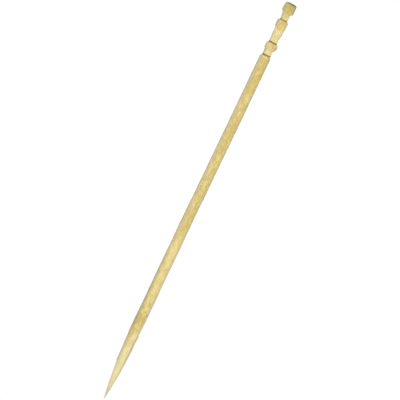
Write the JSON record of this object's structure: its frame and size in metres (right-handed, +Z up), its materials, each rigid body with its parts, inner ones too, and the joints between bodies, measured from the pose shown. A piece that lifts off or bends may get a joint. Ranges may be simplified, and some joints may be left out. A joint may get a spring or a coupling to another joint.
{
  "type": "cocktail pick",
  "caption": "Turned wooden cocktail pick: a slim round shaft with a long sharpened point, and a grooved head with a bead, a collar and a flat-ended cap.",
  "frame": {"origin": "at the middle of the point's blunt end", "axes": "+Z up the pick from its point to the flat end of its cap, as it stands in food; X and Y are free, because it is round"},
  "size_m": [0.0024, 0.0024, 0.08],
  "materials": {
    "wood": "bare turned wood, matt"
  },
  "bodies": {
    "root": {"pick": "wood"}
  },
  "joints": []
}
